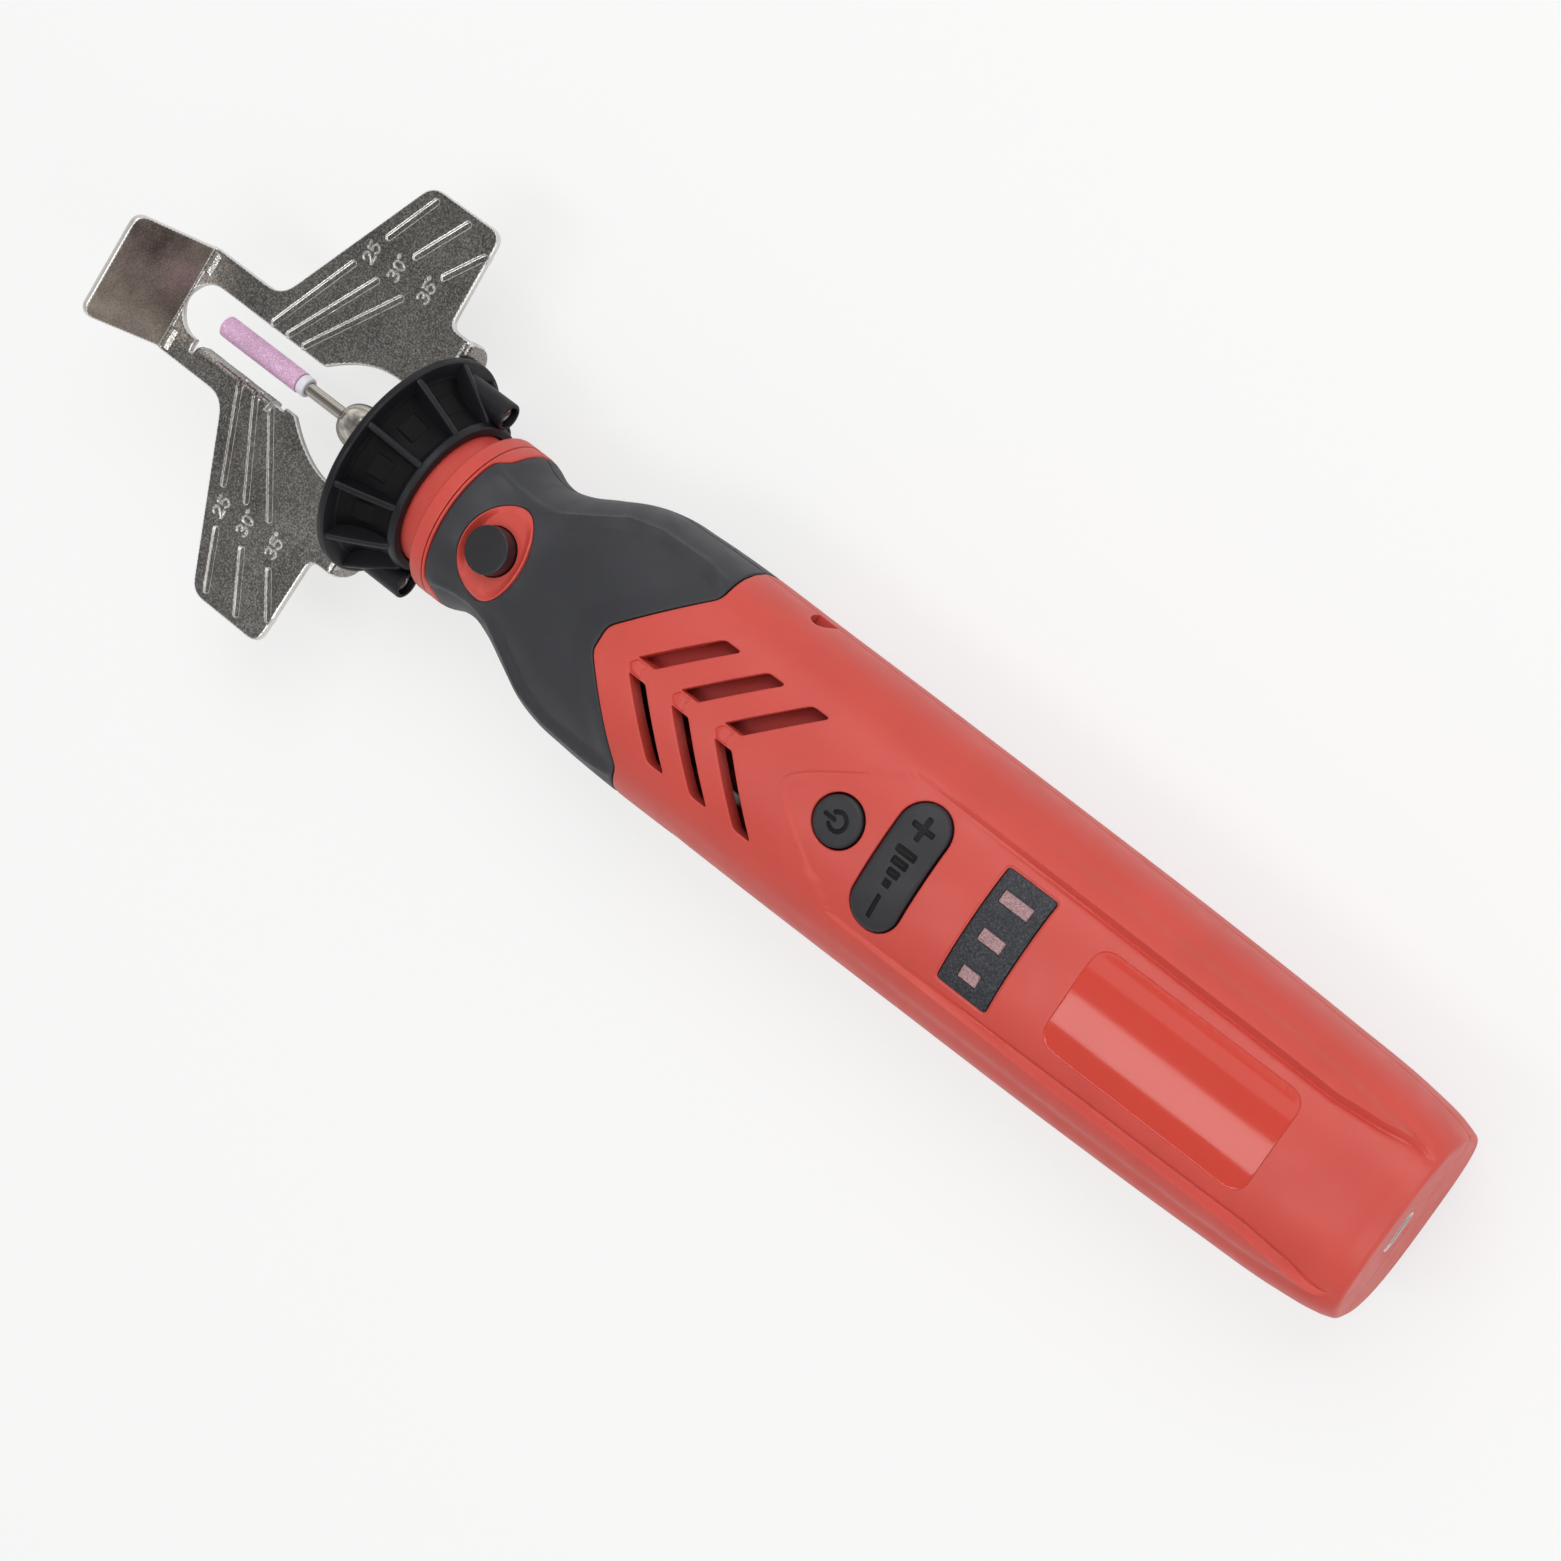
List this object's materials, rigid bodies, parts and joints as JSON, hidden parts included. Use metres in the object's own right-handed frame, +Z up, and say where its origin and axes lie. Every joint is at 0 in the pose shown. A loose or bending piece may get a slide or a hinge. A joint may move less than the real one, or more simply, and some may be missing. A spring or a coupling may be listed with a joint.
{
  "type": "cordless chainsaw sharpener",
  "caption": "Slim cordless grinder: small rotary stone in a collet, stamped angle guide plate on a ribbed turning collar, gripped neck, spindle lock, power key, speed rocker.",
  "frame": {"origin": "middle of the bounding box, on the plane that the tool lies on", "axes": "+X from the grinding stone to the tail along the spindle, +Z up through the keys, +Y to the side"},
  "size_m": [0.3262, 0.0996, 0.0507],
  "materials": {
    "red_shell": "moulded satin red",
    "grip_rubber": "soft matt dark grey",
    "black_plastic": "moulded matt black",
    "plate_chrome": "bright plated sheet",
    "bright_steel": "turned and ground",
    "abrasive_pink": "bonded grit",
    "ferrule_white": "matt white",
    "light_lens": "frosted clear",
    "copper_winding": "lacquered copper",
    "board_green": "solder mask",
    "cell_wrap": "shrink sleeve",
    "ferrite": "pressed ferrite"
  },
  "bodies": {
    "shells": {"motor_end_cap": "black_plastic", "display_window": "black_plastic", "power_switch": "black_plastic", "speed_up_switch": "black_plastic", "speed_down_switch": "black_plastic", "front_bearing": "bright_steel", "rear_bearing": "bright_steel", "motor_can": "bright_steel", "lock_spring": "bright_steel", "cell_strap": "bright_steel", "usb_socket": "bright_steel", "housing_screw_1": "bright_steel", "housing_screw_2": "bright_steel", "housing_screw_3": "bright_steel", "housing_screw_4": "bright_steel", "housing_screw_5": "bright_steel", "housing_screw_6": "bright_steel", "grip_upper": "grip_rubber", "grip_lower": "grip_rubber", "magnet_left": "ferrite", "magnet_right": "ferrite", "nose_ring": "red_shell", "housing_upper": "red_shell", "housing_lower": "red_shell", "control_board": "board_green", "charge_board": "board_green", "light_bar_1": "light_lens", "light_bar_2": "light_lens", "light_bar_3": "light_lens", "battery_cell_left": "cell_wrap", "battery_cell_right": "cell_wrap"},
    "guide": {"guide_plate": "plate_chrome", "guide_collar": "black_plastic", "collar_screw_left": "bright_steel", "collar_screw_right": "bright_steel"},
    "spindle": {"spindle": "bright_steel", "collet": "bright_steel", "stone_abrasive": "abrasive_pink", "stone_ferrule": "ferrule_white", "stone_shank": "bright_steel", "shaft_coupling": "grip_rubber", "motor_shaft": "bright_steel", "motor_armature": "copper_winding", "cooling_fan": "black_plastic"},
    "nut": {"collet_nut": "bright_steel"},
    "lock": {"lock_button": "black_plastic", "lock_pin": "bright_steel"},
    "power": {"power_button": "grip_rubber"},
    "rocker": {"speed_rocker": "grip_rubber"}
  },
  "joints": [
    {"name": "guide_turn", "type": "hinge", "parent": "shells", "child": "guide", "pos_m": [-0.08966, 0, 0.02533], "axis": [1, 0, 0], "range_deg": [-180, 180]},
    {"name": "spindle_spin", "type": "hinge", "parent": "shells", "child": "spindle", "pos_m": [-0.08966, 0, 0.02533], "axis": [1, 0, 0], "continuous": true},
    {"name": "nut_turn", "type": "hinge", "parent": "spindle", "child": "nut", "pos_m": [-0.08966, 0, 0.02533], "axis": [-1, 0, 0], "range_deg": [0, 720]},
    {"name": "lock_press", "type": "slide", "parent": "shells", "child": "lock", "axis": [0, 0, -1], "range_m": [0, 0.0025], "stiffness_N_per_m": 1200, "springref_m": -0.001, "deforming": ["lock_spring"]},
    {"name": "power_press", "type": "slide", "parent": "shells", "child": "power", "axis": [0, 0, -1], "range_m": [0, 0.0008], "stiffness_N_per_m": 1500, "springref_m": -0.0005},
    {"name": "speed_rock", "type": "hinge", "parent": "shells", "child": "rocker", "pos_m": [0.05314, 0, 0.03884], "axis": [1, 0, 0], "range_deg": [-2, 2], "stiffness_Nm_per_rad": 0.5}
  ]
}
